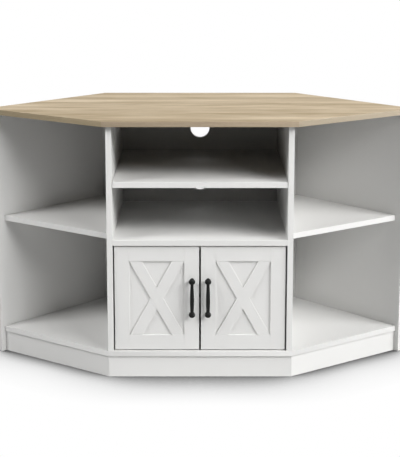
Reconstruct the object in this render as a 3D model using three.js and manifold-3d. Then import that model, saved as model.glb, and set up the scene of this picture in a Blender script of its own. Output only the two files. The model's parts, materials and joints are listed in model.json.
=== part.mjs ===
import * as THREE from 'three';
import { mergeVertices } from 'three/addons/utils/BufferGeometryUtils.js';
import Module from 'manifold-3d';

const wasm = await Module();
wasm.setup();

// A media cabinet that stands in the corner of a room, with two X-braced doors between open wings.
// Millimetres, +Z up. The doors face -Y and the corner of the room lies towards +Y.
// In the plan Y = 0 is the front edge of the two dividers, and the cabinet is the same left and right.

// Boards
const board = 15;
const slantGap = 0.3;
const cutOverrun = 2;

// Plan of the carcass. The wall panels stand at 45 degrees.
const dividerHalf = 244;
const wingAngle = THREE.MathUtils.degToRad(33.5);
const wingBackWidth = 58.5;
const wallProud = 11;
const bodyDepth = 497;
const backSpace = 30;

// Plan of the top
const topSideOverhang = 9;
const frontOverhang = 16;
const rearOverhang = 12;
const tipRadius = 4;
const topEase = 1.2;

// Heights
const kickHeight = 57.5;
const doorSpace = 288;
const wingShelfRise = 16;
const lowerBayHeight = 139.5;
const upperBayHeight = 148;

// Kick boards and the blocks behind their mitres
const kickSetback = 4;
const blockLeg = 34;
const blockDrop = 12;

// Shelves
const wingShelfSetback = 12;
const shelfSetback = 2;
const shelfEndGap = 1;
const shelfBackGap = 2;

// Cable holes in the back panel, each a little under the middle of its bay
const cableHoleRadius = 28;
const cableHoleDrop = 9;

// Doors
const doorSideGap = 4;
const doorCentreGap = 5;
const doorTopGap = 3;
const doorBottomGap = 3;
const doorSetback = 5;
const corePanel = 12;
const frameBoard = 4;
const stileWidth = 39;
const railWidth = 40;
const braceFoot = 32.5;
const braceStep = 0.5;

// Door pivots: a steel pin in each door edge turns in a bush in the board above or below
const pivotInset = 14;
const pivotDepth = 9.5;
const pinRadius = 2.5;
const pinReach = 8;
const plugRadius = 3.5;
const plugDepth = 18;
const bushRadius = 5;
const bushFlangeRadius = 7;
const bushDepth = 10;
const runningGap = 0.3;

// Handles
const handlePitch = 90;
const handleRise = 4.5;
const handleFromEdge = 18.5;
const footRadius = 5.6;
const footThickness = 2.4;
const neckRadius = 4;
const knobRadius = 8.4;
const knobThickness = 12;
const handleReach = 21;
const gripEndRadius = 4.1;
const gripMiddleRadius = 5.5;
const gripBackset = 6;

// Screws. The bite is how far a short one goes into the piece that it holds on to.
const screwRadius = 2;
const screwHeadRadius = 4;
const screwHead = 2.4;
const screwBite = 9;
const backScrewLength = 32;
const backScrewInset = 60;

// Magnetic catch under the middle board, and the strike plate on each door
const catchWidth = 52;
const catchDepth = 14;
const catchHeight = 17;
const catchWall = 2.5;
const earReach = 11;
const earThickness = 3;
const magnetWidth = 15;
const magnetHeight = 8;
const magnetDepth = 6;
const strikeWidth = 17;
const strikeHeight = 22;
const strikeThickness = 1.2;
const strikeTopGap = 2;
const strikeScrewRise = 5.5;
const catchGap = 0.4;

// Pegs that join the boards, and the pins that carry the loose shelf
const pegRadius = 4;
const pegInFace = 9;
const pegChamfer = 1;
const pegInset = 60;
const wallPegInset = 90;
const shelfPinRadius = 2.5;
const shelfPinHeadRadius = 3.6;
const shelfPinHead = 8;
const shelfPinInset = 45;
const boreGap = 0.3;

// Levels
const baseTop = kickHeight + board;
const midUnder = baseTop + doorSpace;
const midTop = midUnder + board;
const wingShelfUnder = midUnder + wingShelfRise;
const shelfUnder = midTop + lowerBayHeight;
const shelfTop = shelfUnder + board;
const topUnder = shelfTop + upperBayHeight;

// Places in the plan
const wingSlope = Math.tan(wingAngle);
const halfTurn = Math.tan(wingAngle / 2);
const bayHalf = dividerHalf - board;
const panelFront = bodyDepth - backSpace - board;
const topFrontHalf = dividerHalf + topSideOverhang;
const slantStep = slantGap * Math.SQRT2;

// X + Y is the same all over the inner face of a wall panel, and all over its outer face
const wallReach = dividerHalf + wingBackWidth + panelFront;
const wallOuterReach = wallReach + board * Math.SQRT2;

// Colours
const whitePaint = { color: 0xdedcd6, roughness: 0.5, metalness: 0 };
const lightOak = { color: 0xbfa682, roughness: 0.55, metalness: 0 };
const beech = { color: 0xc9ab7f, roughness: 0.7, metalness: 0 };
const blackMetal = { color: 0x17171a, roughness: 0.4, metalness: 0.8 };
const steel = { color: 0xa8a9ab, roughness: 0.35, metalness: 1 };
const whiteNylon = { color: 0xe6e4de, roughness: 0.45, metalness: 0 };
const darkMagnet = { color: 0x3b3b3e, roughness: 0.5, metalness: 0.6 };

// Solids and cuts

function toSolid(geometry) {
  const bare = geometry.clone();
  bare.deleteAttribute('normal');
  bare.deleteAttribute('uv');
  const merged = mergeVertices(bare);
  const mesh = new wasm.Mesh({
    numProp: 3,
    vertProperties: Float32Array.from(merged.attributes.position.array),
    triVerts: Uint32Array.from(merged.index.array),
  });
  return new wasm.Manifold(mesh);
}

function toGeometry(solid) {
  const mesh = solid.getMesh();
  const geometry = new THREE.BufferGeometry();
  geometry.setAttribute('position', new THREE.BufferAttribute(mesh.vertProperties, mesh.numProp));
  geometry.setIndex(new THREE.BufferAttribute(mesh.triVerts, 1));
  geometry.computeVertexNormals();
  return geometry;
}

function cut(geometry, tools) {
  let solid = toSolid(geometry);
  for (const tool of tools) {
    solid = solid.subtract(toSolid(tool));
  }
  return toGeometry(solid);
}

function join(geometries) {
  let solid = toSolid(geometries[0]);
  for (const other of geometries.slice(1)) {
    solid = solid.add(toSolid(other));
  }
  return toGeometry(solid);
}

// A board cut to an outline in the plan, standing from one level to another
function planBoard(points, bottom, height) {
  const shape = new THREE.Shape(points.map(([x, y]) => new THREE.Vector2(x, y)));
  const geometry = new THREE.ExtrudeGeometry(shape, { depth: height, bevelEnabled: false });
  geometry.translate(0, 0, bottom);
  return geometry;
}

// A board cut to an outline in X and Z, with its front face at a given Y
function uprightBoard(shape, front, thickness) {
  const geometry = new THREE.ExtrudeGeometry(shape, { depth: thickness, bevelEnabled: false });
  geometry.rotateX(Math.PI / 2);
  geometry.translate(0, front + thickness, 0);
  return geometry;
}

function block(x0, x1, y0, y1, z0, z1) {
  const geometry = new THREE.BoxGeometry(x1 - x0, y1 - y0, z1 - z0);
  geometry.translate((x0 + x1) / 2, (y0 + y1) / 2, (z0 + z1) / 2);
  return geometry;
}

// A round bar from one point along a direction
function rod(radius, from, direction, length, sides = 12) {
  const geometry = new THREE.CylinderGeometry(radius, radius, length, sides);
  geometry.translate(0, length / 2, 0);
  return aim(geometry, from, direction);
}

// A turned form, drawn as radius and distance along its axis, from one point along a direction
function turned(profile, from, direction, sides = 16) {
  const points = profile.map(([radius, along]) => new THREE.Vector2(radius, along));
  return aim(new THREE.LatheGeometry(points, sides), from, direction);
}

function aim(geometry, from, direction) {
  const turn = new THREE.Quaternion().setFromUnitVectors(along.y, direction.clone().normalize());
  geometry.applyQuaternion(turn);
  geometry.translate(from.x, from.y, from.z);
  return geometry;
}

const at = (x, y, z) => new THREE.Vector3(x, y, z);
const along = { y: at(0, 1, 0), z: at(0, 0, 1) };
const outward = (side) => at(side, 0, 0);
const reversed = (direction) => direction.clone().negate();

// The same outline on the other side of the cabinet; side is 1 for the right and -1 for the left
function onSide(side, points) {
  const placed = points.map(([x, y]) => [side * x, y]);
  return side > 0 ? placed : placed.reverse();
}

function addMesh(parent, name, geometry, look) {
  const mesh = new THREE.Mesh(geometry, new THREE.MeshStandardMaterial(look));
  mesh.name = name;
  parent.add(mesh);
  return mesh;
}

// Plan lines

// Where a front line of the wing, drawn from its corner beside a divider, meets the 45 degree line
// with a given X + Y
function wingMeets(cornerX, cornerY, reach) {
  const x = (reach - cornerY + cornerX * wingSlope) / (1 + wingSlope);
  return [x, reach - x];
}

// Pegs. Each is glued into the edge of one board and stands out of it into a bore in the face of another.

function pegAt(face, intoEdge) {
  const profile = [
    [0, 0],
    [pegRadius - pegChamfer, 0],
    [pegRadius, pegChamfer],
    [pegRadius, pegInFace + cutOverrun],
    [0, pegInFace + cutOverrun],
  ];
  return turned(profile, face.clone().addScaledVector(intoEdge, -pegInFace), intoEdge, 10);
}

function pegBore(face, intoEdge) {
  const start = face.clone().addScaledVector(intoEdge, -pegInFace - boreGap);
  return rod(pegRadius + boreGap, start, intoEdge, pegInFace + boreGap + cutOverrun, 10);
}

const intoWall = (side) => at(side, 1, 0).normalize();

// A point on a wall panel's inner face, at a given distance back from its front end
function wallInner(side, back, z) {
  const [frontX, frontY] = wallFront();
  const step = back / Math.SQRT2;
  return at(side * (frontX - step), frontY + step, z);
}

// Inner corner of a wall panel's front end: a little ahead of the base board's tip
function wallFront() {
  const [tipX, tipY] = wingMeets(dividerHalf, 0, wallReach);
  const step = wallProud / Math.SQRT2;
  return [tipX + step, tipY - step];
}

const wallLength = (wallFront()[0] - (wallReach - bodyDepth)) * Math.SQRT2;
const dividerPegY = [pegInset, panelFront - pegInset];

function dividerPegs(side, level, intoEdge) {
  return dividerPegY.map((y) => [at(side * (dividerHalf - board / 2), y, level), intoEdge]);
}

const dividerTopPegs = (side) => dividerPegs(side, topUnder, reversed(along.z));
const dividerFootPegs = (side) => dividerPegs(side, baseTop, along.z);

function wallTopPegs(side) {
  return [pegInset, wallLength - pegInset].map((back) => {
    const inner = wallInner(side, back, topUnder);
    return [inner.addScaledVector(intoWall(side), board / 2), reversed(along.z)];
  });
}

function wallPegs(side, z) {
  const places = [wallPegInset, wallLength - wallPegInset].map((back) => wallInner(side, back, z));
  return places.map((face) => [face, reversed(intoWall(side))]);
}

function middlePegs(side) {
  return dividerPegY.map((y) => [at(side * bayHalf, y, midUnder + board / 2), outward(-side)]);
}

function wingDividerPegs(side) {
  const places = [wingShelfSetback + pegInset, panelFront - wallPegInset];
  return places.map((y) => [at(side * dividerHalf, y, wingShelfUnder + board / 2), outward(side)]);
}

const pegBores = (places) => places.map(([face, direction]) => pegBore(face, direction));

function withPegs(geometry, places) {
  return join([geometry, ...places.map(([face, direction]) => pegAt(face, direction))]);
}

const wallPegLevels = { base: kickHeight + board / 2, shelf: wingShelfUnder + board / 2 };

// Top

function topPanel() {
  const reach = wallOuterReach + rearOverhang * Math.SQRT2;
  const rear = bodyDepth + rearOverhang;
  const [tipX, tipY] = wingMeets(topFrontHalf, -frontOverhang, reach);
  // the round tip touches the front wing edge and the 45 degree rear edge
  const tipAngle = wingAngle + Math.PI / 4;
  const centreStep = tipRadius / Math.sin(tipAngle / 2);
  const heading = Math.PI / 4 - tipAngle / 2;
  const centreX = tipX - centreStep * Math.cos(heading);
  const centreY = tipY + centreStep * Math.sin(heading);
  const shape = new THREE.Shape();
  shape.moveTo(-topFrontHalf, -frontOverhang);
  shape.lineTo(topFrontHalf, -frontOverhang);
  shape.absarc(centreX, centreY, tipRadius, wingAngle - Math.PI / 2, Math.PI / 4, false);
  shape.lineTo(reach - rear, rear);
  shape.lineTo(rear - reach, rear);
  shape.absarc(-centreX, centreY, tipRadius, Math.PI * 0.75, Math.PI * 1.5 - wingAngle, false);
  shape.closePath();
  const geometry = new THREE.ExtrudeGeometry(shape, {
    depth: board - 2 * topEase,
    bevelThickness: topEase,
    bevelSize: topEase,
    bevelOffset: -topEase,
    bevelSegments: 2,
    curveSegments: 8,
  });
  geometry.translate(0, 0, topUnder + topEase);
  return cut(geometry, pegBores([1, -1].flatMap((side) => [...dividerTopPegs(side), ...wallTopPegs(side)])));
}

// Carcass

function wallPanel(side) {
  const [frontX, frontY] = wallFront();
  const step = board / Math.SQRT2;
  const outline = [
    [frontX, frontY],
    [frontX + step, frontY + step],
    [wallOuterReach - bodyDepth, bodyDepth],
    [wallReach - bodyDepth, bodyDepth],
  ];
  const bores = pegBores(Object.values(wallPegLevels).flatMap((level) => wallPegs(side, level)));
  return withPegs(cut(planBoard(onSide(side, outline), 0, topUnder), bores), wallTopPegs(side));
}

function divider(side) {
  const inner = side * bayHalf;
  const outer = side * dividerHalf;
  const panel = block(Math.min(inner, outer), Math.max(inner, outer), 0, panelFront, baseTop, topUnder);
  const pins = shelfPinDepths.map((y) => shelfPinBore(side, y));
  const screws = backScrewHeights.map((z) => backScrewBore(side, z));
  const bores = pegBores([...middlePegs(side), ...wingDividerPegs(side)]);
  const pegs = [...dividerTopPegs(side), ...dividerFootPegs(side)];
  return withPegs(cut(panel, [...bores, ...pins, ...screws]), pegs);
}

function backPanel() {
  const half = (y) => wallReach - slantStep - y;
  const rear = panelFront + board;
  const outline = [
    [-half(panelFront), panelFront],
    [half(panelFront), panelFront],
    [half(rear), rear],
    [-half(rear), rear],
  ];
  const holes = cableHoleHeights().map((z) => (
    rod(cableHoleRadius, at(0, panelFront - cutOverrun, z), along.y, board + 2 * cutOverrun, 32)
  ));
  const screws = [1, -1].flatMap((side) => backScrewHeights.map((z) => backScrewBore(side, z)));
  return cut(planBoard(outline, baseTop, topUnder - baseTop), [...holes, ...screws]);
}

function cableHoleHeights() {
  const upper = (shelfTop + topUnder) / 2 - cableHoleDrop;
  const lower = (midTop + shelfUnder) / 2 - cableHoleDrop;
  return [upper, lower];
}

function baseBoard() {
  const reach = wallReach - slantStep;
  const [tipX, tipY] = wingMeets(dividerHalf, 0, reach);
  const outline = [
    [-dividerHalf, 0],
    [dividerHalf, 0],
    [tipX, tipY],
    [reach - bodyDepth, bodyDepth],
    [bodyDepth - reach, bodyDepth],
    [-tipX, tipY],
  ];
  const bushes = [1, -1].map((side) => bushBore(side, baseTop, reversed(along.z)));
  const bores = pegBores([1, -1].flatMap(dividerFootPegs));
  const panel = cut(planBoard(outline, kickHeight, board), [...bores, ...bushes]);
  return withPegs(panel, [1, -1].flatMap((side) => wallPegs(side, wallPegLevels.base)));
}

function midBoard() {
  const panel = block(-bayHalf, bayHalf, 0, panelFront, midUnder, midTop);
  const bushes = [1, -1].map((side) => bushBore(side, midUnder, along.z));
  const screws = [1, -1].map((side) => screwBore(catchScrewPlace(side), along.z, catchScrewLength));
  return withPegs(cut(panel, [...bushes, ...screws]), [1, -1].flatMap(middlePegs));
}

function wingShelf(side) {
  const reach = wallReach - slantStep;
  const [tipX, tipY] = wingMeets(dividerHalf, wingShelfSetback, reach);
  const outline = [
    [dividerHalf, wingShelfSetback],
    [tipX, tipY],
    [reach - panelFront, panelFront],
    [dividerHalf, panelFront],
  ];
  const panel = planBoard(onSide(side, outline), wingShelfUnder, board);
  return withPegs(panel, [...wingDividerPegs(side), ...wallPegs(side, wallPegLevels.shelf)]);
}

function centreShelf() {
  const half = bayHalf - shelfEndGap;
  return block(-half, half, shelfSetback, panelFront - shelfBackGap, shelfUnder, shelfTop);
}

// Pins under the loose shelf

const shelfPinDepths = [shelfSetback + shelfPinInset, panelFront - shelfBackGap - shelfPinInset];
const shelfPinLevel = shelfUnder - shelfPinRadius;

function shelfPinBore(side, y) {
  const mouth = at(side * (bayHalf - cutOverrun), y, shelfPinLevel);
  const depth = board / 2 + boreGap;
  return rod(shelfPinRadius + boreGap, mouth, outward(side), depth + cutOverrun);
}

// A round pin whose head is cut flat where the shelf lies on it
function shelfPin(side, y) {
  const profile = [
    [0, 0],
    [shelfPinRadius, 0],
    [shelfPinRadius, board / 2],
    [shelfPinHeadRadius, board / 2],
    [shelfPinHeadRadius, board / 2 + shelfPinHead],
    [0, board / 2 + shelfPinHead],
  ];
  const tail = at(side * (bayHalf + board / 2), y, shelfPinLevel);
  const pin = turned(profile, tail, outward(-side));
  const reach = board + shelfPinHead;
  const flat = block(
    tail.x - reach,
    tail.x + reach,
    y - shelfPinHeadRadius - cutOverrun,
    y + shelfPinHeadRadius + cutOverrun,
    shelfUnder,
    shelfUnder + shelfPinHeadRadius,
  );
  return cut(pin, [flat]);
}

// Kick boards

const kickCorner = [dividerHalf - kickSetback * halfTurn, kickSetback];
const kickInnerCorner = [kickCorner[0] - board * halfTurn, kickSetback + board];

function kickFront() {
  const outline = [
    [slantGap - kickCorner[0], kickCorner[1]],
    [kickCorner[0] - slantGap, kickCorner[1]],
    [kickInnerCorner[0] - slantGap, kickInnerCorner[1]],
    [slantGap - kickInnerCorner[0], kickInnerCorner[1]],
  ];
  return planBoard(outline, 0, kickHeight);
}

function kickWing(side) {
  const reach = wallReach - slantStep;
  const outline = [
    kickCorner,
    wingMeets(...kickCorner, reach),
    wingMeets(...kickInnerCorner, reach),
    kickInnerCorner,
  ];
  return planBoard(onSide(side, outline), 0, kickHeight);
}

function kickRear() {
  const half = (y) => wallReach - slantStep - y;
  const front = bodyDepth - board;
  const outline = [
    [-half(front), front],
    [half(front), front],
    [half(bodyDepth), bodyDepth],
    [-half(bodyDepth), bodyDepth],
  ];
  return planBoard(outline, 0, kickHeight);
}

// A three-sided block behind the mitre of two kick boards, under the base board
function kickBlock(side) {
  const cornerX = kickInnerCorner[0] - slantGap * halfTurn;
  const cornerY = kickInnerCorner[1] + slantGap;
  const outline = [
    [cornerX - blockLeg, cornerY],
    [cornerX, cornerY],
    [cornerX + blockLeg * Math.cos(wingAngle), cornerY + blockLeg * Math.sin(wingAngle)],
  ];
  return planBoard(onSide(side, outline), blockDrop, kickHeight - blockDrop);
}

// Doors. Each is drawn for its side with X from the middle of the cabinet outwards.

const doorInner = doorCentreGap / 2;
const doorOuter = bayHalf - doorSideGap;
const doorBottom = baseTop + doorBottomGap;
const doorTop = midUnder - doorTopGap;
const frameFront = doorSetback;
const coreFront = frameFront + frameBoard;
const doorBack = coreFront + corePanel;
const pivotX = doorOuter - pivotInset;
const pivotY = frameFront + pivotDepth;

function doorBlock(side, x0, x1, y0, y1, z0, z1) {
  return side > 0 ? block(x0, x1, y0, y1, z0, z1) : block(-x1, -x0, y0, y1, z0, z1);
}

function handleBores(side) {
  const length = doorBack - frameFront + 2 * cutOverrun;
  return handleScrewHeights.map((z) => {
    const mouth = at(side * handleX, frameFront - cutOverrun, z);
    return rod(screwRadius + boreGap, mouth, along.y, length);
  });
}

function plugBores(side) {
  return Object.values(pivots).map(({ doorEdge, intoDoor }) => {
    const mouth = at(side * pivotX, pivotY, doorEdge).addScaledVector(intoDoor, -cutOverrun);
    return rod(plugRadius + boreGap, mouth, intoDoor, plugDepth + boreGap + cutOverrun);
  });
}

function doorCore(side) {
  const panel = doorBlock(side, doorInner, doorOuter, coreFront, doorBack, doorBottom, doorTop);
  return cut(panel, [...handleBores(side), ...plugBores(side), strikeScrewBore(side)]);
}

function handleStile(side) {
  const inner = doorInner;
  const stile = doorBlock(side, inner, inner + stileWidth, frameFront, coreFront, doorBottom, doorTop);
  return cut(stile, handleBores(side));
}

function hingeStile(side) {
  return doorBlock(side, doorOuter - stileWidth, doorOuter, frameFront, coreFront, doorBottom, doorTop);
}

function doorRail(side, bottom) {
  const inner = doorInner + stileWidth;
  const outer = doorOuter - stileWidth;
  return doorBlock(side, inner, outer, frameFront, coreFront, bottom, bottom + railWidth);
}

// The X: each arm runs from a corner of the recess to the opposite one
function doorBrace(side) {
  const left = doorInner + stileWidth + slantGap;
  const bottom = doorBottom + railWidth + slantGap;
  const width = doorOuter - stileWidth - slantGap - left;
  const height = doorTop - railWidth - slantGap - bottom;
  const notch = height * (width / 2 - braceFoot) / (width - braceFoot);
  const outline = [
    [0, 0],
    [braceFoot, 0],
    [width / 2, notch],
    [width - braceFoot, 0],
    [width, 0],
    [(width + braceFoot) / 2, height / 2],
    [width, height],
    [width - braceFoot, height],
    [width / 2, height - notch],
    [braceFoot, height],
    [0, height],
    [(width - braceFoot) / 2, height / 2],
  ];
  const placed = onSide(side, outline.map(([x, z]) => [left + x, bottom + z]));
  const shape = new THREE.Shape(placed.map(([x, z]) => new THREE.Vector2(x, z)));
  return uprightBoard(shape, frameFront + braceStep, frameBoard - braceStep);
}

// Handles: a bar turned with a swell in its middle, between two round-headed posts

const handleX = doorInner + handleFromEdge;
const handleMiddle = (doorBottom + doorTop) / 2 + handleRise;
const handleScrewHeights = [handleMiddle - handlePitch / 2, handleMiddle + handlePitch / 2];

function knobProfile() {
  const knobStart = handleReach - knobThickness;
  const profile = [
    [0, 0],
    [footRadius, 0],
    [footRadius, footThickness / 2],
    [neckRadius, footThickness],
    [neckRadius, knobStart],
  ];
  const steps = 6;
  for (let step = 1; step < steps; step += 1) {
    const turn = Math.PI * step / steps;
    const swell = neckRadius + (knobRadius - neckRadius) * Math.sin(Math.min(turn, Math.PI / 2));
    const radius = turn <= Math.PI / 2 ? swell : knobRadius * Math.sin(turn);
    profile.push([radius, knobStart + knobThickness * (1 - Math.cos(turn)) / 2]);
  }
  profile.push([0, handleReach]);
  return profile;
}

function gripProfile() {
  const profile = [[0, 0]];
  const steps = 10;
  for (let step = 0; step <= steps; step += 1) {
    const swell = Math.sin(Math.PI * step / steps) ** 2;
    const radius = gripEndRadius + (gripMiddleRadius - gripEndRadius) * swell;
    profile.push([radius, handlePitch * step / steps]);
  }
  profile.push([0, handlePitch]);
  return profile;
}

function handle(side) {
  const [lower, upper] = handleScrewHeights;
  const posts = [lower, upper].map((z) => (
    turned(knobProfile(), at(side * handleX, frameFront, z), reversed(along.y), 20)
  ));
  const gripY = frameFront - handleReach + gripBackset;
  const grip = turned(gripProfile(), at(side * handleX, gripY, lower), along.z, 16);
  const bores = [lower, upper].map((z) => (
    screwBore(at(side * handleX, frameFront, z), reversed(along.y), screwBite)
  ));
  return cut(join([...posts, grip]), bores);
}

// Screws

function screwProfile(length) {
  return [
    [0, 0],
    [screwHeadRadius / 2, 0],
    [screwHeadRadius, screwHead / 2],
    [screwHeadRadius, screwHead],
    [screwRadius, screwHead],
    [screwRadius, screwHead + length],
    [0, screwHead + length],
  ];
}

// A screw whose head lies on the face that holds the point
function screw(face, inward, length) {
  const start = face.clone().addScaledVector(inward, -screwHead);
  return turned(screwProfile(length), start, inward, 12);
}

function screwBore(face, inward, length) {
  const start = face.clone().addScaledVector(inward, -cutOverrun);
  return rod(screwRadius + boreGap, start, inward, length + cutOverrun + boreGap);
}

function handleScrew(side, z) {
  return screw(at(side * handleX, doorBack, z), reversed(along.y), doorBack - frameFront + screwBite);
}

const backScrewHeights = [baseTop + backScrewInset, topUnder - backScrewInset];
const backScrewFace = (side, z) => at(side * (dividerHalf - board / 2), panelFront + board, z);
const backScrewBore = (side, z) => screwBore(backScrewFace(side, z), reversed(along.y), backScrewLength);
const backScrew = (side, z) => screw(backScrewFace(side, z), reversed(along.y), backScrewLength);

// Door pivots

const pivots = {
  lower: { doorEdge: doorBottom, intoDoor: along.z, face: baseTop, gap: doorBottomGap },
  upper: { doorEdge: doorTop, intoDoor: reversed(along.z), face: midUnder, gap: doorTopGap },
};

function pivotPin(side, { doorEdge, intoDoor, gap }) {
  const profile = [
    [0, -gap - pinReach],
    [pinRadius, -gap - pinReach],
    [pinRadius, 0],
    [plugRadius, 0],
    [plugRadius, plugDepth],
    [0, plugDepth],
  ];
  return turned(profile, at(side * pivotX, pivotY, doorEdge), intoDoor);
}

function bushBore(side, face, inward) {
  const mouth = at(side * pivotX, pivotY, face).addScaledVector(inward, -cutOverrun);
  return rod(bushRadius + boreGap, mouth, inward, bushDepth + boreGap + cutOverrun, 16);
}

// A flanged bush: its flange fills the gap to the door, less the running clearance
function doorBush(side, { face, intoDoor, gap }) {
  const flange = gap - runningGap;
  const bore = pinRadius + runningGap;
  const profile = [
    [bore, -flange],
    [bushFlangeRadius, -flange],
    [bushFlangeRadius, 0],
    [bushRadius, 0],
    [bushRadius, bushDepth],
    [bore, bushDepth],
    [bore, -flange],
  ];
  return turned(profile, at(side * pivotX, pivotY, face), reversed(intoDoor));
}

// Magnetic catch

const catchFront = doorBack + strikeThickness + catchGap;
const magnetX = (catchWidth - magnetWidth) / 2 - earThickness;
const magnetLevel = midUnder - catchHeight + catchWall + magnetHeight / 2;
const catchScrewLength = screwBite + earThickness;

function catchScrewPlace(side) {
  return at(side * (catchWidth + earReach) / 2, catchFront + catchDepth / 2, midUnder - earThickness);
}

function catchHousing() {
  const half = catchWidth / 2;
  const rear = catchFront + catchDepth;
  const body = block(-half, half, catchFront, rear, midUnder - catchHeight, midUnder);
  const ears = block(-half - earReach, half + earReach, catchFront, rear, midUnder - earThickness, midUnder);
  const pockets = [1, -1].map((side) => block(
    side * magnetX - magnetWidth / 2 - boreGap,
    side * magnetX + magnetWidth / 2 + boreGap,
    catchFront - cutOverrun,
    catchFront + magnetDepth + boreGap,
    magnetLevel - magnetHeight / 2 - boreGap,
    magnetLevel + magnetHeight / 2 + boreGap,
  ));
  const bores = [1, -1].map((side) => screwBore(catchScrewPlace(side), along.z, catchScrewLength));
  return cut(join([body, ears]), [...pockets, ...bores]);
}

function catchMagnet(side) {
  return block(
    side * magnetX - magnetWidth / 2,
    side * magnetX + magnetWidth / 2,
    catchFront,
    catchFront + magnetDepth,
    magnetLevel - magnetHeight / 2,
    magnetLevel + magnetHeight / 2,
  );
}

const catchScrew = (side) => screw(catchScrewPlace(side), along.z, catchScrewLength);

const strikeTop = doorTop - strikeTopGap;
const strikeScrewLength = screwBite + strikeThickness;

function strikePlate(side) {
  const middle = side * magnetX;
  const plate = block(
    middle - strikeWidth / 2,
    middle + strikeWidth / 2,
    doorBack,
    doorBack + strikeThickness,
    strikeTop - strikeHeight,
    strikeTop,
  );
  return cut(plate, [strikeScrewBore(side)]);
}

function strikeScrewPlace(side) {
  return at(side * magnetX, doorBack + strikeThickness, strikeTop - strikeHeight + strikeScrewRise);
}

const strikeScrewBore = (side) => screwBore(strikeScrewPlace(side), reversed(along.y), strikeScrewLength);
const strikeScrew = (side) => screw(strikeScrewPlace(side), reversed(along.y), strikeScrewLength);

// Assembly

const cabinet = new THREE.Group();
// the origin is under the middle of the whole box: its front is the handles, its back is the top's edge
const frontMost = Math.min(-frontOverhang, frameFront - handleReach);
cabinet.position.y = -(frontMost + bodyDepth + rearOverhang) / 2;

addMesh(cabinet, 'top_panel', topPanel(), lightOak);
addMesh(cabinet, 'back_panel', backPanel(), whitePaint);
addMesh(cabinet, 'base_board', baseBoard(), whitePaint);
addMesh(cabinet, 'middle_board', midBoard(), whitePaint);
addMesh(cabinet, 'centre_shelf', centreShelf(), whitePaint);
addMesh(cabinet, 'kick_front', kickFront(), whitePaint);
addMesh(cabinet, 'kick_rear', kickRear(), whitePaint);
addMesh(cabinet, 'catch_housing', catchHousing(), whiteNylon);

for (const [name, side] of [['left', -1], ['right', 1]]) {
  addMesh(cabinet, `${name}_wall_panel`, wallPanel(side), whitePaint);
  addMesh(cabinet, `${name}_divider`, divider(side), whitePaint);
  addMesh(cabinet, `${name}_wing_shelf`, wingShelf(side), whitePaint);
  addMesh(cabinet, `${name}_kick`, kickWing(side), whitePaint);
  addMesh(cabinet, `${name}_kick_block`, kickBlock(side), beech);
  addMesh(cabinet, `${name}_catch_magnet`, catchMagnet(side), darkMagnet);
  addMesh(cabinet, `${name}_catch_screw`, catchScrew(side), steel);

  const [frontPin, rearPin] = shelfPinDepths;
  addMesh(cabinet, `${name}_front_shelf_pin`, shelfPin(side, frontPin), steel);
  addMesh(cabinet, `${name}_rear_shelf_pin`, shelfPin(side, rearPin), steel);

  const [lowerFixing, upperFixing] = backScrewHeights;
  addMesh(cabinet, `${name}_lower_back_screw`, backScrew(side, lowerFixing), steel);
  addMesh(cabinet, `${name}_upper_back_screw`, backScrew(side, upperFixing), steel);

  const door = new THREE.Group();
  cabinet.add(door);
  addMesh(door, `${name}_door_core`, doorCore(side), whitePaint);
  addMesh(door, `${name}_door_hinge_stile`, hingeStile(side), whitePaint);
  addMesh(door, `${name}_door_handle_stile`, handleStile(side), whitePaint);
  addMesh(door, `${name}_door_top_rail`, doorRail(side, doorTop - railWidth), whitePaint);
  addMesh(door, `${name}_door_bottom_rail`, doorRail(side, doorBottom), whitePaint);
  addMesh(door, `${name}_door_brace`, doorBrace(side), whitePaint);
  addMesh(door, `${name}_handle`, handle(side), blackMetal);
  addMesh(door, `${name}_strike_plate`, strikePlate(side), steel);
  addMesh(door, `${name}_strike_screw`, strikeScrew(side), steel);

  const [lowerHandleFixing, upperHandleFixing] = handleScrewHeights;
  addMesh(door, `${name}_lower_handle_screw`, handleScrew(side, lowerHandleFixing), steel);
  addMesh(door, `${name}_upper_handle_screw`, handleScrew(side, upperHandleFixing), steel);

  for (const [place, pivot] of Object.entries(pivots)) {
    addMesh(cabinet, `${name}_${place}_bush`, doorBush(side, pivot), whiteNylon);
    addMesh(door, `${name}_${place}_pivot_pin`, pivotPin(side, pivot), steel);
  }
}

export default cabinet;
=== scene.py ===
import json
import math

import bmesh
import bpy
from mathutils import Matrix, Vector

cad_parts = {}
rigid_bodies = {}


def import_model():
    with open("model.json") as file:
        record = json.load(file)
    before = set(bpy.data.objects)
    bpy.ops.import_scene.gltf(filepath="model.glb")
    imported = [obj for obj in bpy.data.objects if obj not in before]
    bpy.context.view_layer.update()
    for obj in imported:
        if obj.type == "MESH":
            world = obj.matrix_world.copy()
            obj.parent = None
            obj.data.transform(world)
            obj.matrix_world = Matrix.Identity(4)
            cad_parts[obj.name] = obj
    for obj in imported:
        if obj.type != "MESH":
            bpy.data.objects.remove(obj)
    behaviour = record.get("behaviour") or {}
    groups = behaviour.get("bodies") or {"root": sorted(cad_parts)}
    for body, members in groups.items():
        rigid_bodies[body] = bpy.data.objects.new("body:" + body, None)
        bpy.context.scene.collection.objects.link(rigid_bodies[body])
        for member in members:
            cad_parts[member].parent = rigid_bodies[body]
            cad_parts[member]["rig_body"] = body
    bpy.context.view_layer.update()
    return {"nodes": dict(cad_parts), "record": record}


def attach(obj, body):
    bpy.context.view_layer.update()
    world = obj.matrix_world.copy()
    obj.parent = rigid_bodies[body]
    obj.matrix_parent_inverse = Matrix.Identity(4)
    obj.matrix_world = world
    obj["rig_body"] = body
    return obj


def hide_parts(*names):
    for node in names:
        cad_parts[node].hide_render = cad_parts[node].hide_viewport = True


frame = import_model()

# Metres, +Z up. The doors face -Y, and X runs along the front of the cabinet.

SLOT_OF = {part["node"]: part["material_slot"] for part in frame["record"]["subparts"]}
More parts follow.
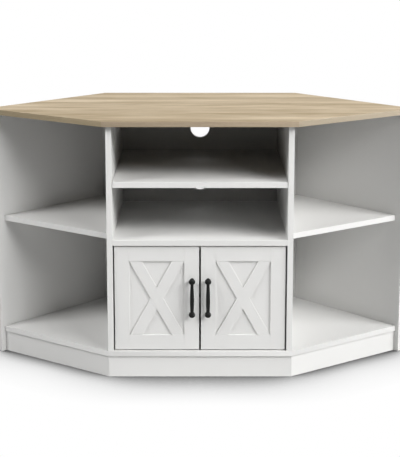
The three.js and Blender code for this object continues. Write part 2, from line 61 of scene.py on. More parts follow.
# Each side of the cabinet, and which way it lies along X
SIDES = {"left": -1, "right": 1}
UP = Vector((0, 0, 1))
DOWN = Vector((0, 0, -1))
FORWARD = Vector((0, -1, 0))
BACKWARD = Vector((0, 1, 0))

# What counts as one corner point, as one flat face, as an edge to ease and as a smooth surface
WELD = 1e-5
FLAT = math.radians(0.5)
SHARP = math.radians(40)
SMOOTH = math.radians(35)

# How far the edges of boards and door frames are eased, and the shortest edge that is
BOARD_EASE = 0.0006
FRAME_EASE = 0.00025
EASE_STEPS = 2
SHORTEST_EASED_EDGE = 0.0115

# Wing corners: how much further back the back panel's front lies there, how far a cutter runs
# on, and what counts as the same place
WING_REBATE = 0.012
OVERRUN = 0.002
FIT = 0.001

# Faces of the top whose normals rise more steeply than this are laminate, the rest is edging
LEVEL_FACE = 0.9

# Handles. A profile is a list of points, each a radius and a height along the axis. The knob is
# a flattened ball without its back, and the lean of the grip lowers its thickest place.
TURNED_STEPS = 48
HANDLE_PITCH = 0.09
HANDLE_BORE = ((0, 0.0093), (0.0023, 0.0093), (0.0023, 0))
HANDLE_FOOT = ((0.0056, 0), (0.0056, 0.0012), (0.0053, 0.0017), (0.0045, 0.0021), (0.0041, 0.0027))
HANDLE_NECK = ((0.004, 0.0036), (0.004, 0.0082), (0.0042, 0.0091), (0.0049, 0.0099))
KNOB_RADIUS = 0.0084
KNOB_MIDDLE = 0.015
KNOB_HALF = 0.006
KNOB_STEPS = 14
KNOB_BACK = math.radians(42)
GRIP_BACKSET = 0.006
GRIP_STEPS = 36
GRIP_END = 0.0041
GRIP_MIDDLE = 0.0055
GRIP_LEAN = 0.8

# Small fittings: turned pieces are drawn from the end that sits in the board
SCREW_POINT = ((0, 0), (0.0016, 0), (0.002, 0.0006))
SCREW_HEAD = (
    (0.002, -0.0024), (0.004, -0.0024), (0.004, -0.0015), (0.0036, -0.0008), (0.0025, -0.0002),
    (0, 0),
)
CROSS_LENGTH = 0.0042
CROSS_WIDTH = 0.0009
CROSS_DEPTH = 0.0013
SHELF_PIN = (
    (0, 0), (0.0022, 0), (0.0025, 0.0004), (0.0025, 0.0075), (0.0036, 0.0075),
    (0.0036, 0.0149), (0.003, 0.0155), (0, 0.0155),
)
PIVOT_POINT = ((0, 0), (0.0021, 0), (0.0025, 0.0005))
PIVOT_PLUG = ((0.0025, -0.018), (0.0035, -0.018), (0.0035, -0.0005), (0.003, 0), (0, 0))
BUSH_BODY = ((0.0028, 0), (0.0046, 0), (0.005, 0.0005), (0.005, 0.01), (0.007, 0.01))
BUSH_LIP = ((0.007, -0.0005), (0.0065, 0), (0.0032, 0), (0.0028, -0.0004))
FITTING_EASE = 0.0004
BLOCK_EASE = 0.0008
SHORTEST_FITTING_EDGE = 0.0055

# Wood, layer by layer: the width it follows and its part of it, how far it is drawn out along
# the grain, its detail, and the noise at which it begins and is full
WOOD_LAYERS = {
    "bands": ("Band Width", 1.0, 30, 2.0, 0.39, 0.61),
    "mottling": ("Band Width", 0.5, 5, 2.0, 0.37, 0.63),
    "streaks": ("Band Width", 0.16, 16, 3.0, 0.32, 0.68),
    "grain": ("Grain Width", 1.0, 26, 3.0, 0.25, 0.75),
    "pores": ("Grain Width", 0.5, 22, 1.0, 0.66, 0.74),
}
LAYER_ROUGHNESS = 0.6
# How much of the wood's tone comes from each layer, and how strongly the pores colour it
TONE_SHARES = {"grain": 0.16, "streaks": 0.26, "mottling": 0.2, "bands": 0.38}
PORE_STRENGTH = 0.45
# How far apart in the log the staves are cut
STAVE_DISTANCES = (9.0, 5.0, 3.0)

# The noise between which a painted, moulded or plated surface drifts from patch to patch
PATCH_RANGE = (0.3, 0.7)

# Flecks in the oak top: X, Y, length, width and how dark. Their outline wavers, and they fade
# from their core outwards.
FLECKS = (
    (0.248, 0.0535, 0.034, 0.0045, 0.75),
    (0.308, 0.1565, 0.032, 0.005, 0.4),
)
FLECK_COLOUR = (0.16, 0.11, 0.07, 1)
FLECK_WAVE = 0.008
FLECK_DRIFT = 0.003
FLECK_CORE = 0.3

# Edging of the top: painted shade on the strip at its left side and painted light on the strip at
# its right side, and how much of them shows
SIDE_STRIP_LIGHT_AND_SHADE = {"left": (0.193, 0.167, 0.056, 1), "right": (0.532, 0.492, 0.386, 1)}
SIDE_STRIP_PAINT_SHARE = 0.3

# What the oak's face lights the pieces around it with
OAK_PASSED_ON = (0.14, 0.12, 0.09, 1)

# Photograph: a level 400 by 457 view, matched with a small downward shift and the rest as tilt.
# The sensor is in millimetres, as wide as the picture is high.
IMAGE_HEIGHT = 457
SENSOR = 36
FOCAL_PIXELS = 1196
SHIFT_PIXELS = 96
CAMERA_PLACE = Vector((0, -3.274, 1.191))
CAMERA_TILT = math.radians(9.92)

# The point that every lamp faces, and how far from it they stand
CABINET_MIDDLE = Vector((0, 0, 0.35))
LAMP_DISTANCE = 8.4
# How bright the studio is in reflections, where white is 1
REFLECTED_STUDIO = 0.2

# The floor, from its middle to its edges, and the grey that it lights the cabinet with
FLOOR_HALF = 30
FLOOR_GREY = (0.5, 0.5, 0.5, 1)

# The contact shadow on the floor: how far it reaches, how fast it deepens, its darkest, and
# how finely it is sampled
CONTACT_REACH = 0.2
CONTACT_GAIN = 2.0
CONTACT_DEPTH = 0.8
CONTACT_DARKEST = 0.1
CONTACT_SAMPLES = 16


# Frame

def corners_of(node):
    """Every corner point of a CAD node"""
    return [vertex.co for vertex in frame["nodes"][node].data.vertices]


def box_of(node):
    """The lowest and highest corner of a CAD node's box"""
    corners = corners_of(node)
    return (
        Vector(min(corner[axis] for corner in corners) for axis in range(3)),
        Vector(max(corner[axis] for corner in corners) for axis in range(3)),
    )


def front_corner(node):
    """How far from the middle a board's front edge ends"""
    corners = corners_of(node)
    front = min(corner.y for corner in corners)
    return max(corner.x for corner in corners if corner.y < front + WELD)


# Materials

def add_node(tree, kind, values=None, **settings):
    """A shader node with its settings; each value is a number, a colour or another node's socket"""
    node = tree.nodes.new(kind)
    for name, setting in settings.items():
        setattr(node, name, setting)
    for name, value in (values or {}).items():
        if isinstance(value, bpy.types.NodeSocket):
            tree.links.new(value, node.inputs[name])
        else:
            node.inputs[name].default_value = value
    return node


def arithmetic(tree, operation, first, second=0.0, third=0.0):
    """The result of a math node"""
    values = {0: first, 1: second, 2: third}
    return add_node(tree, "ShaderNodeMath", values, operation=operation).outputs[0]


def vector_math(tree, operation, *vectors):
    """The outputs of a vector math node"""
    values = dict(enumerate(vectors))
    return add_node(tree, "ShaderNodeVectorMath", values, operation=operation).outputs


def colour_mix(tree, share, first, second):
    """Two colours mixed; a mix node takes colours in at sockets 6 and 7 and gives them out at 2"""
    values = {0: share, 6: first, 7: second}
    return add_node(tree, "ShaderNodeMix", values, data_type="RGBA").outputs[2]


def remap(tree, value, low, high, new_low=0.0, new_high=1.0):
    """A value moved from one range to another, and kept inside it"""
    values = {
        "Value": value,
        "From Min": low,
        "From Max": high,
        "To Min": new_low,
        "To Max": new_high,
    }
    return add_node(tree, "ShaderNodeMapRange", values).outputs["Result"]


def noise(tree, place, size, detail, **values):
    """Noise whose features have about the given size"""
    scale = arithmetic(tree, "DIVIDE", 1.0, size)
    values |= {"Vector": place, "Scale": scale, "Detail": detail}
    return add_node(tree, "ShaderNodeTexNoise", values).outputs["Fac"]


def new_group(name, inputs, outputs):
    """An empty node group with named sockets, and its inner input and output nodes"""
    group = bpy.data.node_groups.new(name, "ShaderNodeTree")
    for socket, (kind, value) in inputs.items():
        made = group.interface.new_socket(socket, in_out="INPUT", socket_type="NodeSocket" + kind)
        if value is not None:
            made.default_value = value
    for socket, kind in outputs.items():
        group.interface.new_socket(socket, in_out="OUTPUT", socket_type="NodeSocket" + kind)
    given = group.nodes.new("NodeGroupInput").outputs
    return group, given, group.nodes.new("NodeGroupOutput").inputs


def place_group(tree, group, values):
    """The outputs of a group that is placed in a material"""
    return add_node(tree, "ShaderNodeGroup", values, node_tree=group).outputs


def make_surface_skin():
    """Fine bumps and slow unevenness, for anything painted, moulded or plated"""
    group, given, result = new_group(
        "surface_skin",
        {"Vector": ("Vector", None), "Bump Size": ("Float", 0.002), "Patch Size": ("Float", 0.2)},
        {"Bumps": "Float", "Patches": "Float"},
    )
    bumps = noise(group, given["Vector"], given["Bump Size"], detail=2.0)
    patches = noise(group, given["Vector"], given["Patch Size"], detail=3.0)
    group.links.new(bumps, result["Bumps"])
    group.links.new(remap(group, patches, *PATCH_RANGE), result["Patches"])
    return group


def make_wood_figure():
    """Staves of wood along X, each with its own tone and its own part of the figure"""
    group, given, result = new_group(
        "wood_figure",
        {
            "Vector": ("Vector", None),
            "Stave Length": ("Float", 0.7),
            "Stave Width": ("Float", 0.11),
            "Stave Spread": ("Float", 0.3),
            "Band Width": ("Float", 0.02),
            "Grain Width": ("Float", 0.002),
            "Light": ("Color", (0.6, 0.5, 0.35, 1)),
            "Dark": ("Color", (0.4, 0.3, 0.2, 1)),
            "Pore": ("Color", (0.2, 0.15, 0.1, 1)),
        },
        {"Colour": "Color", "Height": "Float", "Pores": "Float"},
    )
    place = add_node(group, "ShaderNodeSeparateXYZ", {0: given["Vector"]}).outputs

    # which stave a point lies in: rows across the grain, each shifted along it by its own amount
    row = arithmetic(group, "FLOOR", arithmetic(group, "DIVIDE", place["Y"], given["Stave Width"]))
    row_luck = add_node(
        group, "ShaderNodeTexWhiteNoise", {"W": row}, noise_dimensions="1D"
    ).outputs["Value"]
    along = arithmetic(group, "DIVIDE", place["X"], given["Stave Length"])
    stave = arithmetic(group, "FLOOR", arithmetic(group, "ADD", along, row_luck))
    stave_key = add_node(group, "ShaderNodeCombineXYZ", {"X": stave, "Y": row}).outputs[0]
    luck = add_node(
        group, "ShaderNodeTexWhiteNoise", {"Vector": stave_key}, noise_dimensions="3D"
    ).outputs

    # each stave is cut from its own place in the log
    log = vector_math(group, "MULTIPLY_ADD", luck["Color"], STAVE_DISTANCES, given["Vector"])

    layers = {}
    for layer, (width, part, stretch, detail, begin, full) in WOOD_LAYERS.items():
        drawn_out = vector_math(group, "MULTIPLY", log["Vector"], (1 / stretch, 1.0, 1.0))
        size = arithmetic(group, "MULTIPLY", given[width], part)
        figure = noise(group, drawn_out["Vector"], size, detail, Roughness=LAYER_ROUGHNESS)
        layers[layer] = remap(group, figure, begin, full)

    tone = 0.0
    for layer, share in TONE_SHARES.items():
        tone = arithmetic(group, "MULTIPLY_ADD", layers[layer], share, tone)
    stave_luck = arithmetic(group, "SUBTRACT", luck["Value"], 0.5)
    stave_tone = arithmetic(group, "MULTIPLY", stave_luck, given["Stave Spread"])
    tone = arithmetic(group, "ADD", tone, stave_tone)
    wood = colour_mix(group, tone, given["Dark"], given["Light"])
    pore_share = arithmetic(group, "MULTIPLY", layers["pores"], PORE_STRENGTH)
    pored = colour_mix(group, pore_share, wood, given["Pore"])
    height = arithmetic(group, "SUBTRACT", layers["grain"], layers["pores"])
    group.links.new(pored, result["Colour"])
    group.links.new(height, result["Height"])
    group.links.new(layers["pores"], result["Pores"])
    return group


def new_material(name, **shader_values):
    """A material with one Principled shader, and its tree, shader and place on the object"""
    material = bpy.data.materials.new(name)
    material.use_nodes = True
    tree = material.node_tree
    shader = tree.nodes["Principled BSDF"]
    for socket, value in shader_values.items():
        shader.inputs[socket.replace("_", " ")].default_value = value
    place = tree.nodes.new("ShaderNodeTexCoord").outputs["Object"]
    return material, tree, shader, place


def add_bump(tree, shader, height, depth):
    """A relief on the shader's surface, as deep as given where the height goes from 0 to 1"""
    bump = add_node(tree, "ShaderNodeBump", {"Height": height, "Distance": depth, "Strength": 1.0})
    tree.links.new(bump.outputs["Normal"], shader.inputs["Normal"])


def passing_on(tree, colour, passed_on):
    """A colour that lights the pieces around it as if it were another, darker one"""
    bounced = add_node(tree, "ShaderNodeLightPath").outputs["Is Diffuse Ray"]
    return colour_mix(tree, bounced, colour, passed_on)


def skinned_material(
    name,
    colour,
    uneven_colour,
    roughness,
    uneven_roughness,
    bump_size,
    bump_depth,
    patch_size,
    passed_on=None,
    **shader_values,
):
    """A painted, moulded or plated finish that drifts between two colours and two roughnesses"""
    material, tree, shader, place = new_material(name, **shader_values)
    skin = place_group(
        tree, surface_skin, {"Vector": place, "Bump Size": bump_size, "Patch Size": patch_size}
    )
    finish = colour_mix(tree, skin["Patches"], colour, uneven_colour)
    if passed_on:
        finish = passing_on(tree, finish, passed_on)
    tree.links.new(finish, shader.inputs["Base Color"])
    rough = remap(tree, skin["Patches"], 0.0, 1.0, roughness, uneven_roughness)
    tree.links.new(rough, shader.inputs["Roughness"])
    add_bump(tree, shader, skin["Bumps"], bump_depth)
    return material


def make_white_board():
    """The white finish of the boards"""
    return skinned_material(
        "white_board_finish",
        colour=(0.80, 0.797, 0.782, 1),
        uneven_colour=(0.79, 0.787, 0.772, 1),
        roughness=0.48,
        uneven_roughness=0.55,
        bump_size=0.0016,
        bump_depth=0.00002,
        patch_size=0.18,
        passed_on=(0.70, 0.696, 0.684, 1),
    )


def make_back_board_painted_shade():
    """The board at the back, in a slightly greyer white than the rest: painted shade that darkens
    the back of the bays
    """
    return skinned_material(
        "back_board_painted_shade_finish",
        colour=(0.62, 0.617, 0.604, 1),
        uneven_colour=(0.61, 0.607, 0.594, 1),
        roughness=0.5,
        uneven_roughness=0.58,
        bump_size=0.0016,
        bump_depth=0.00002,
        patch_size=0.18,
        passed_on=(0.52, 0.517, 0.507, 1),
    )


def oak_marks(tree, place, colour):
    """Short dark flecks that follow the grain, each at its own place on the top"""
    values = {"Vector": place, "Scale": 1 / FLECK_WAVE}
    wander = add_node(tree, "ShaderNodeTexNoise", values).outputs["Color"]
    reach = (FLECK_WAVE, FLECK_DRIFT, 0)
    wavering = vector_math(tree, "MULTIPLY_ADD", wander, reach, place)["Vector"]
    for x, y, length, width, strength in FLECKS:
        centre = (x + FLECK_WAVE / 2, y + FLECK_DRIFT / 2, 0)
        offset = vector_math(tree, "SUBTRACT", wavering, centre)["Vector"]
        halves = vector_math(tree, "MULTIPLY", offset, (2 / length, 2 / width, 0))["Vector"]
        distance = vector_math(tree, "LENGTH", halves)["Value"]
        share = remap(tree, distance, FLECK_CORE, 1.0, strength, 0.0)
        colour = colour_mix(tree, share, colour, FLECK_COLOUR)
    return colour


def finish_wood(tree, shader, wood, colour, roughness, pore_roughness, depth):
    """Joins a wood's colour, its roughness with rougher pores, and its relief to the shader"""
    tree.links.new(colour, shader.inputs["Base Color"])
    rough = remap(tree, wood["Pores"], 0.0, 1.0, roughness, pore_roughness)
    tree.links.new(rough, shader.inputs["Roughness"])
    add_bump(tree, shader, wood["Height"], depth)


def make_oak_face():
    """Light oak laminate, with its grain along the front edge"""
    material, tree, shader, place = new_material("oak_face", Specular_IOR_Level=0.3)
    wood = place_group(tree, wood_figure, {
        "Vector": place,
        "Stave Length": 40.0,
        "Stave Width": 0.12,
        "Stave Spread": 0.2,
        "Band Width": 0.07,
        "Grain Width": 0.0024,
        "Light": (0.842, 0.708, 0.528, 1),
        "Dark": (0.332, 0.246, 0.134, 1),
        "Pore": (0.27, 0.19, 0.11, 1),
    })
    colour = passing_on(tree, oak_marks(tree, place, wood["Colour"]), OAK_PASSED_ON)
    finish_wood(tree, shader, wood, colour, roughness=0.56, pore_roughness=0.68, depth=0.00003)
    return material


def make_oak_edge():
    """The edging of the top, a little darker, with its grain along the edge"""
    material, tree, shader, place = new_material("oak_edge")
    parts = add_node(tree, "ShaderNodeSeparateXYZ", {0: place}).outputs
    edge_place = {"X": parts["X"], "Y": parts["Z"]}
    along_edge = add_node(tree, "ShaderNodeCombineXYZ", edge_place).outputs[0]
    wood = place_group(tree, wood_figure, {
        "Vector": along_edge,
        "Stave Length": 0.62,
        "Stave Width": 0.088,
        "Stave Spread": 0.2,
        "Band Width": 0.006,
        "Grain Width": 0.0014,
        "Light": (0.44, 0.352, 0.25, 1),
        "Dark": (0.34, 0.267, 0.182, 1),
        "Pore": (0.22, 0.15, 0.09, 1),
    })
    # each side strip of edging gets painted shade on the left and a painted highlight on the right,
    # over the front's tone
    colour = wood["Colour"]
    corner = front_corner("top_panel")
    for side, outward in SIDES.items():
        across = arithmetic(tree, "MULTIPLY", parts["X"], outward)
        beyond = arithmetic(tree, "GREATER_THAN", across, corner)
        share = arithmetic(tree, "MULTIPLY", beyond, SIDE_STRIP_PAINT_SHARE)
        colour = colour_mix(tree, share, colour, SIDE_STRIP_LIGHT_AND_SHADE[side])
    finish_wood(tree, shader, wood, colour, roughness=0.5, pore_roughness=0.62, depth=0.00003)
    return material


def make_beech():
    """Plain beech, for the blocks behind the kick boards"""
    material, tree, shader, place = new_material("beech_block_finish")
    wood = place_group(tree, wood_figure, {
        "Vector": place,
        "Stave Spread": 0.1,
        "Band Width": 0.008,
        "Grain Width": 0.0012,
        "Light": (0.58, 0.42, 0.26, 1),
        "Dark": (0.47, 0.32, 0.19, 1),
        "Pore": (0.3, 0.18, 0.1, 1),
    })
    colour = wood["Colour"]
    finish_wood(tree, shader, wood, colour, roughness=0.6, pore_roughness=0.7, depth=0.00004)
    return material


def make_black_metal():
    """Matt black lacquer on the handles"""
    return skinned_material(
        "black_handle_finish",
        colour=(0.008, 0.008, 0.008, 1),
        uneven_colour=(0.011, 0.011, 0.0105, 1),
        roughness=0.42,
        uneven_roughness=0.5,
        bump_size=0.0009,
        bump_depth=0.00003,
        patch_size=0.02,
        Specular_IOR_Level=0.2,
    )


def make_steel():
    """Zinc-plated steel"""
    return skinned_material(
        "zinc_steel_finish",
        colour=(0.62, 0.62, 0.63, 1),
        uneven_colour=(0.54, 0.545, 0.56, 1),
        roughness=0.28,
        uneven_roughness=0.4,
        bump_size=0.0006,
        bump_depth=0.00001,
        patch_size=0.004,
        Metallic=1.0,
    )


def make_nylon():
    """Off-white moulded nylon"""
    return skinned_material(
        "moulded_nylon_finish",
        colour=(0.78, 0.77, 0.73, 1),
        uneven_colour=(0.75, 0.74, 0.70, 1),
        roughness=0.42,
        uneven_roughness=0.5,
        bump_size=0.0005,
        bump_depth=0.00001,
        patch_size=0.01,
    )


def make_magnet():
    """Dark, dull magnet"""
    return skinned_material(
        "magnet_finish",
        colour=(0.05, 0.05, 0.055, 1),
        uneven_colour=(0.07, 0.07, 0.075, 1),
        roughness=0.5,
        uneven_roughness=0.62,
        bump_size=0.0005,
        bump_depth=0.00002,
        patch_size=0.004,
        Metallic=0.6,
    )


surface_skin = make_surface_skin()
wood_figure = make_wood_figure()
oak_edge = make_oak_edge()
FINISH = {
    "white_board": make_white_board(),
    "oak_top": make_oak_face(),
    "black_handle": make_black_metal(),
    "steel_fastener": make_steel(),
    "nylon": make_nylon(),
    "magnet": make_magnet(),
    "beech_block": make_beech(),
}
# Pieces whose finish isn't the one that their slot stands for
# the back panel's greyer white is painted shade for the back of the bays
OWN_FINISH = {"back_panel": make_back_board_painted_shade()}


# Pieces

def finish_piece(form, node, name):
    """Makes a bmesh the piece that stands for a CAD node: its mesh, finish, body and slot"""
    mesh = bpy.data.meshes.new(name)
    form.to_mesh(mesh)
    form.free()
    # normals that came with the CAD node no longer fit the new shape
    if "custom_normal" in mesh.attributes:
        mesh.attributes.remove(mesh.attributes["custom_normal"])
    mesh.shade_smooth()
    mesh.set_sharp_from_angle(angle=SMOOTH)
    mesh.materials.clear()
    mesh.materials.append(OWN_FINISH.get(node, FINISH[SLOT_OF[node]]))
    piece = bpy.data.objects.new(name, mesh)
    bpy.context.scene.collection.objects.link(piece)
    shading = piece.modifiers.new("flat_faces_stay_flat", "WEIGHTED_NORMAL")
    shading.weight = 100
    shading.keep_sharp = True
    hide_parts(node)
    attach(piece, frame["nodes"][node]["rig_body"])
    return piece


def whole_faces(node):
    """A CAD node's own shape, with its triangles merged into whole faces"""
    form = bmesh.new()
    form.from_mesh(frame["nodes"][node].data)
    bmesh.ops.remove_doubles(form, verts=form.verts, dist=WELD)
    bmesh.ops.dissolve_limit(form, angle_limit=FLAT, verts=form.verts, edges=form.edges)
    return form


def scratch_object(form, name):
    """A form as an object that modifiers can work on, to be removed again"""
    mesh = bpy.data.meshes.new(name)
    form.to_mesh(mesh)
    form.free()
    made = bpy.data.objects.new(name, mesh)
    bpy.context.scene.collection.objects.link(made)
    return made


def combined(forms, operation="UNION"):
    """One closed form out of several, with the first as the base of the others"""
    base, *others = [scratch_object(form, f"shape_{number}") for number, form in enumerate(forms)]
    for other in others:
        step = base.modifiers.new(other.name, "BOOLEAN")
        step.object = other
        step.operation = operation
        step.solver = "EXACT"
    form = bmesh.new()
    form.from_object(base, bpy.context.evaluated_depsgraph_get())
    for made in (base, *others):
        mesh = made.data
        bpy.data.objects.remove(made)
        bpy.data.meshes.remove(mesh)
    return form


def eased(node, ease, shortest=SHORTEST_EASED_EDGE, form=None):
    """A piece with its long sharp edges eased; the bores and pegs in it stay as they are"""
    form = form or whole_faces(node)
    sharp = [
        edge for edge in form.edges
        if len(edge.link_faces) == 2
        and edge.calc_face_angle() > SHARP
        and edge.calc_length() > shortest
    ]
    bmesh.ops.bevel(
        form,
        geom=sharp,
        offset=ease,
        segments=EASE_STEPS,
        profile=0.5,
        affect="EDGES",
        material=-1,
    )
    return finish_piece(form, node, node + "_finished")


def finish_wing_corners():
    """The back panel is thinner at its ends, in the wings, and the wing shelves reach back to it"""
    low, high = box_of("back_panel")
    divider_face = box_of("right_divider")[1].x
    width = high.x - divider_face + OVERRUN
    size = (width, 2 * WING_REBATE, high.z - low.z + OVERRUN)
    cuts = []
    for side, outward in SIDES.items():
        # half of each cutter lies in the panel and half in front of it
        cut = bmesh.new()
        bmesh.ops.create_cube(cut, size=1)
        bmesh.ops.scale(cut, vec=size, verts=cut.verts)
        place = (outward * (divider_face + width / 2), low.y, (low.z + high.z) / 2)
        bmesh.ops.translate(cut, vec=place, verts=cut.verts)
        cuts.append(cut)

        # the shelf's rear edge moves back, and its outer end slides along the wall
        shelf = whole_faces(side + "_wing_shelf")
        rear = [vertex for vertex in shelf.verts if abs(vertex.co.y - low.y) < FIT]
        wall_end = [vertex for vertex in rear if abs(vertex.co.x) > divider_face + FIT]
        bmesh.ops.translate(shelf, vec=(0, WING_REBATE, 0), verts=rear)
        bmesh.ops.translate(shelf, vec=(-outward * WING_REBATE, 0, 0), verts=wall_end)
        eased(side + "_wing_shelf", BOARD_EASE, form=shelf)
    panel = combined([whole_faces("back_panel"), *cuts], "DIFFERENCE")
    eased("back_panel", BOARD_EASE, form=panel)


def finish_boards():
    """Every board but the top, the back panel and the wing shelves"""
    middle = ("base_board", "middle_board", "centre_shelf", "kick_front", "kick_rear")
    paired = ("wall_panel", "divider", "kick")
    door = ("core", "hinge_stile", "handle_stile", "top_rail", "bottom_rail", "brace")
    for node in middle:
        eased(node, BOARD_EASE)
    for side in SIDES:
        for name in paired:
            eased(f"{side}_{name}", BOARD_EASE)
        for name in door:
            eased(f"{side}_door_{name}", FRAME_EASE)


def finish_top():
    """The top is laminate on its faces, and edging on its upright sides"""
    piece = finish_piece(whole_faces("top_panel"), "top_panel", "top_panel_finished")
    piece.data.materials.append(oak_edge)
    for face in piece.data.polygons:
        face.material_index = 0 if abs(face.normal.z) > LEVEL_FACE else 1


def turned(profile):
    """A solid turned about +Z, from a profile that ends on the axis or closes on itself"""
    form = bmesh.new()
    verts = [form.verts.new((radius, 0, height)) for radius, height in profile]
    edges = [form.edges.new(pair) for pair in zip(verts, verts[1:])]
    bmesh.ops.spin(
        form,
        geom=verts + edges,
        cent=(0, 0, 0),
        axis=(0, 0, 1),
        angle=math.tau,
        steps=TURNED_STEPS,
        use_merge=True,
    )
    bmesh.ops.remove_doubles(form, verts=form.verts, dist=WELD)
    bmesh.ops.recalc_face_normals(form, faces=form.faces)
    return form


def set_at(form, place, direction):
    """Moves a form that was made about +Z to its place, with its axis along a direction"""
    turn = direction.to_track_quat("Z", "Y").to_matrix().to_4x4()
    bmesh.ops.transform(form, matrix=Matrix.Translation(place) @ turn, verts=form.verts)
    return form


def knob_profile():
    """A handle post: a bore for its screw, a foot, a neck and a round knob"""
    ball = []
    for step in range(KNOB_STEPS + 1):
        turn = KNOB_BACK + (math.pi - KNOB_BACK) * step / KNOB_STEPS
        ball.append((KNOB_RADIUS * math.sin(turn), KNOB_MIDDLE - KNOB_HALF * math.cos(turn)))
    return [*HANDLE_BORE, *HANDLE_FOOT, *HANDLE_NECK, *ball]


def grip_profile():
    """A bar that swells from its ends to just below its middle"""
    profile = [(0, 0)]
    for step in range(GRIP_STEPS + 1):
        share = step / GRIP_STEPS
        swell = math.sin(math.pi * share ** GRIP_LEAN) ** 2
        profile.append((GRIP_END + (GRIP_MIDDLE - GRIP_END) * swell, HANDLE_PITCH * share))
    return [*profile, (0, HANDLE_PITCH)]


def finish_handles():
    """Two turned posts and the grip between them, each handle in one piece"""
    for side in SIDES:
        node = side + "_handle"
        low, high = box_of(node)
        middle = (low + high) / 2
        lower, upper = (
            Vector((middle.x, high.y, middle.z + rise * HANDLE_PITCH / 2)) for rise in (-1, 1)
        )
        posts = [set_at(turned(knob_profile()), foot, FORWARD) for foot in (lower, upper)]
        grip_start = Vector((middle.x, low.y + GRIP_BACKSET, lower.z))
        grip = set_at(turned(grip_profile()), grip_start, UP)
        finish_piece(combined([posts[0], grip, posts[1]]), node, node + "_finished")


def raised(profile, height):
    """A profile moved along its axis"""
    return tuple((radius, height + along) for radius, along in profile)


def seat_of(node, direction):
    """The place of a turned piece's first end, and its length, from its CAD node"""
    low, high = box_of(node)
    length = abs((high - low).dot(direction))
    return (low + high) / 2 - direction * length / 2, length


def screw_form(length):
    """A pan-head screw with a cross recess"""
    body = turned((*SCREW_POINT, *raised(SCREW_HEAD, length)))
    cross = []
    for turn in (0, math.pi / 2):
        groove = bmesh.new()
        bmesh.ops.create_cube(groove, size=1)
        size = (CROSS_LENGTH, CROSS_WIDTH, 2 * CROSS_DEPTH)
        bmesh.ops.scale(groove, vec=size, verts=groove.verts)
        across = Matrix.Rotation(turn, 3, "Z")
        bmesh.ops.rotate(groove, cent=(0, 0, 0), matrix=across, verts=groove.verts)
        bmesh.ops.translate(groove, vec=(0, 0, length), verts=groove.verts)
        cross.append(groove)
    return combined([body, *cross], "DIFFERENCE")


def finish_screws():
    """Every screw, with its head towards the side that it is driven from"""
    facing = {
        "lower_handle_screw": BACKWARD,
        "upper_handle_screw": BACKWARD,
        "strike_screw": BACKWARD,
        "lower_back_screw": BACKWARD,
        "upper_back_screw": BACKWARD,
        "catch_screw": DOWN,
    }
    for side in SIDES:
        for name, direction in facing.items():
            node = f"{side}_{name}"
            tip, length = seat_of(node, direction)
            finish_piece(set_at(screw_form(length), tip, direction), node, node + "_finished")


def finish_shelf_pins():
    """Pins under the loose shelf, each with a flat on top that the shelf lies on"""
    radius = max(width for width, _ in SHELF_PIN)
    for side, outward in SIDES.items():
        for end in ("front", "rear"):
            node = f"{side}_{end}_shelf_pin"
            low, high = box_of(node)
            outer_end = low.x if outward < 0 else high.x
            tail = Vector((outer_end, (low.y + high.y) / 2, low.z + radius))
            form = set_at(turned(SHELF_PIN), tail, Vector((-outward, 0, 0)))
            parts = [*form.verts, *form.edges, *form.faces]
            cut = bmesh.ops.bisect_plane(
                form, geom=parts, plane_co=high, plane_no=UP, clear_outer=True
            )
            rim = [part for part in cut["geom_cut"] if isinstance(part, bmesh.types.BMEdge)]
            bmesh.ops.edgeloop_fill(form, edges=rim)
            finish_piece(form, node, node + "_finished")


def finish_pivots():
    """The pins in each door's ends, and the flanged bushes that they turn in"""
    for side in SIDES:
        for level, into_board in (("lower", DOWN), ("upper", UP)):
            pin = f"{side}_{level}_pivot_pin"
            point, length = seat_of(pin, -into_board)
            form = turned((*PIVOT_POINT, *raised(PIVOT_PLUG, length)))
            finish_piece(set_at(form, point, -into_board), pin, pin + "_finished")
            bush = f"{side}_{level}_bush"
            seat, length = seat_of(bush, -into_board)
            form = turned((*BUSH_BODY, *raised(BUSH_LIP, length), BUSH_BODY[0]))
            finish_piece(set_at(form, seat, -into_board), bush, bush + "_finished")


def finish_fittings():
    """The magnetic catch, its strike plates and the blocks behind the kick boards"""
    eased("catch_housing", FITTING_EASE, SHORTEST_FITTING_EDGE)
    for side in SIDES:
        eased(side + "_catch_magnet", FITTING_EASE, SHORTEST_FITTING_EDGE)
        eased(side + "_strike_plate", FITTING_EASE, SHORTEST_FITTING_EDGE)
        eased(side + "_kick_block", BLOCK_EASE)


# Stage

def soft_box(name, azimuth, elevation, width, height, power, mirrored=True):
    """A rectangular lamp that faces the cabinet; angles are in degrees, with azimuth 0 in front"""
    turn, rise = math.radians(azimuth), math.radians(elevation)
    sideways, forward = math.sin(turn) * math.cos(rise), math.cos(turn) * math.cos(rise)
    away = Vector((sideways, -forward, math.sin(rise)))
    lamp = bpy.data.lights.new(name, "AREA")
    lamp.shape = "RECTANGLE"
    lamp.size = width
    lamp.size_y = height
    lamp.energy = power
    box = bpy.data.objects.new(name, lamp)
    box.location = CABINET_MIDDLE + away * LAMP_DISTANCE
    box.rotation_euler = away.to_track_quat("Z", "Y").to_euler()
    box.visible_camera = False
    box.visible_glossy = mirrored
    bpy.context.scene.collection.objects.link(box)


def light_stage():
    """Soft lamps on both sides, most of them on the right, and one behind that nothing mirrors"""
    soft_box("front_light", azimuth=35, elevation=35, width=2.4, height=2.4, power=182)
    soft_box("key_light", azimuth=50, elevation=30, width=2.4, height=2.4, power=175)
    soft_box("wide_light", azimuth=60, elevation=30, width=2.4, height=2.4, power=262)
    soft_box("right_light", azimuth=75, elevation=40, width=2.4, height=2.4, power=208)
    soft_box("left_light", azimuth=-65, elevation=40, width=3.0, height=3.0, power=350)
    soft_box("far_left_light", azimuth=-85, elevation=35, width=3.0, height=3.0, power=30)
    soft_box(
        "back_light", azimuth=180, elevation=15, width=8.0, height=3.0, power=270, mirrored=False
    )


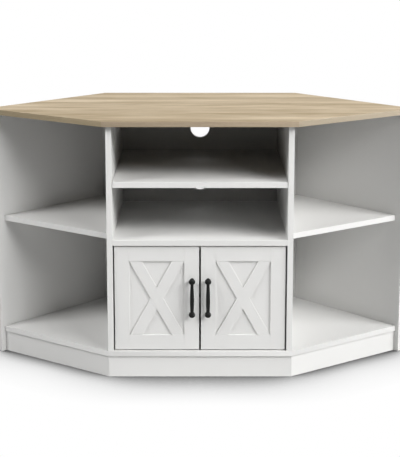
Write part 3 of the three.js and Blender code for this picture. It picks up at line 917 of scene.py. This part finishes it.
def make_world():
    """White to the camera and grey in reflections; the lamps alone light the cabinet"""
    world = bpy.data.worlds.new("studio")
    world.use_nodes = True
    bpy.context.scene.world = world
    tree = world.node_tree
    rays = add_node(tree, "ShaderNodeLightPath").outputs
    light = arithmetic(
        tree, "MULTIPLY_ADD", rays["Is Glossy Ray"], REFLECTED_STUDIO, rays["Is Camera Ray"]
    )
    background = tree.nodes["Background"].inputs
    background["Color"].default_value = (1, 1, 1, 1)
    tree.links.new(light, background["Strength"])


def make_floor():
    """A white sheet that darkens only close to what stands on it"""
    form = bmesh.new()
    bmesh.ops.create_grid(form, x_segments=1, y_segments=1, size=FLOOR_HALF)
    mesh = bpy.data.meshes.new("floor")
    form.to_mesh(mesh)
    form.free()
    floor = bpy.data.objects.new("floor", mesh)
    bpy.context.scene.collection.objects.link(floor)
    material, tree, shader, _ = new_material(
        "pale_floor", Base_Color=FLOOR_GREY, Roughness=0.9, Specular_IOR_Level=0.0
    )
    openness = add_node(
        tree, "ShaderNodeAmbientOcclusion", {"Distance": CONTACT_REACH}, samples=CONTACT_SAMPLES
    ).outputs["AO"]
    contact = arithmetic(tree, "MULTIPLY_ADD", openness, CONTACT_GAIN, -CONTACT_DEPTH)
    shade = arithmetic(tree, "MINIMUM", openness, contact)
    light = arithmetic(tree, "MAXIMUM", shade, CONTACT_DARKEST)
    glow = add_node(tree, "ShaderNodeEmission", {"Color": (1, 1, 1, 1), "Strength": light})
    seen = add_node(tree, "ShaderNodeLightPath").outputs["Is Camera Ray"]
    shaders = {0: seen, 1: shader.outputs[0], 2: glow.outputs[0]}
    mixed = add_node(tree, "ShaderNodeMixShader", shaders)
    tree.links.new(mixed.outputs[0], tree.nodes["Material Output"].inputs["Surface"])
    mesh.materials.append(material)


def make_camera():
    """The photograph's camera"""
    lens = bpy.data.cameras.new("camera")
    lens.sensor_width = SENSOR
    lens.lens = FOCAL_PIXELS / IMAGE_HEIGHT * SENSOR
    lens.shift_y = -SHIFT_PIXELS / IMAGE_HEIGHT
    camera = bpy.data.objects.new("camera", lens)
    camera.location = CAMERA_PLACE
    camera.rotation_euler = (math.pi / 2 - CAMERA_TILT, 0, 0)
    bpy.context.scene.collection.objects.link(camera)
    bpy.context.scene.camera = camera


make_camera()
make_world()
make_floor()
light_stage()
finish_boards()
finish_wing_corners()
finish_top()
finish_handles()
finish_screws()
finish_shelf_pins()
finish_pivots()
finish_fittings()
bpy.context.scene.view_settings.view_transform = "Standard"
